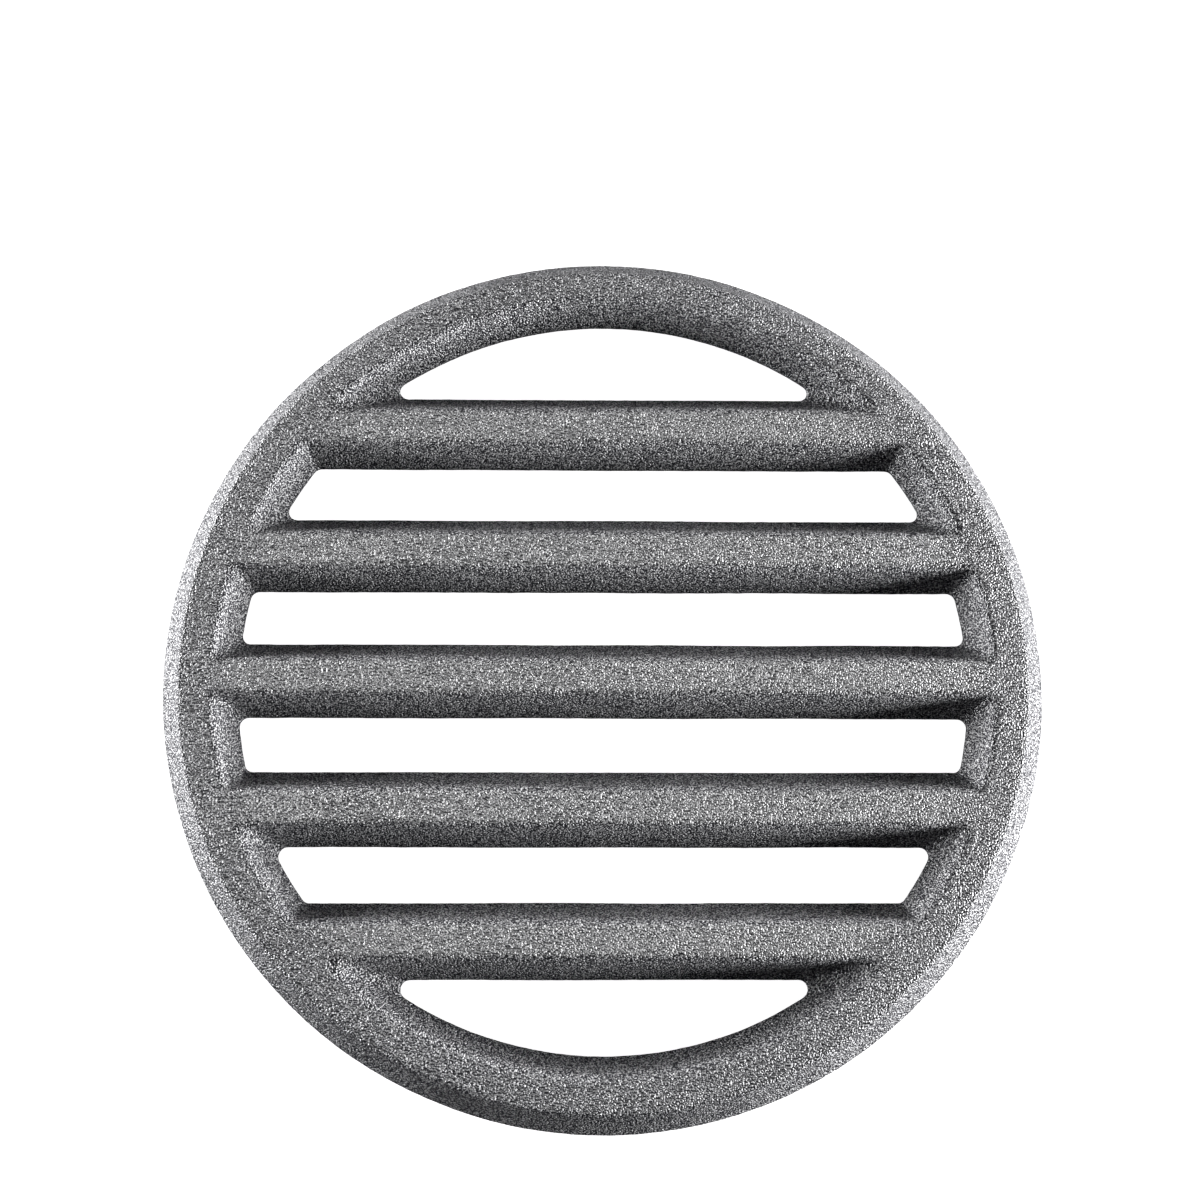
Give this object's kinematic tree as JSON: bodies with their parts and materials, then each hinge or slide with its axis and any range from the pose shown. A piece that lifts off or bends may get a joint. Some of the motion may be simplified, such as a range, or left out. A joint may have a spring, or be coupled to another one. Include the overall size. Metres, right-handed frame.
{
  "type": "floor drain grate",
  "caption": "Round slotted floor drain grate of plain cast iron: a flat rim with straight parallel bars, sloping edges and a flat back.",
  "frame": {"origin": "centre of the flat back face", "axes": "+Z through the thickness from the flat back to the top, +X along the bars, +Y across them; the bars are counted from +Y"},
  "size_m": [0.15, 0.15, 0.0065],
  "materials": {
    "cast_iron": "bare, as cast, with a fine sand-cast grain"
  },
  "bodies": {
    "root": {"rim": "cast_iron", "bar_1": "cast_iron", "bar_2": "cast_iron", "bar_3": "cast_iron", "bar_4": "cast_iron", "bar_5": "cast_iron"}
  },
  "joints": []
}
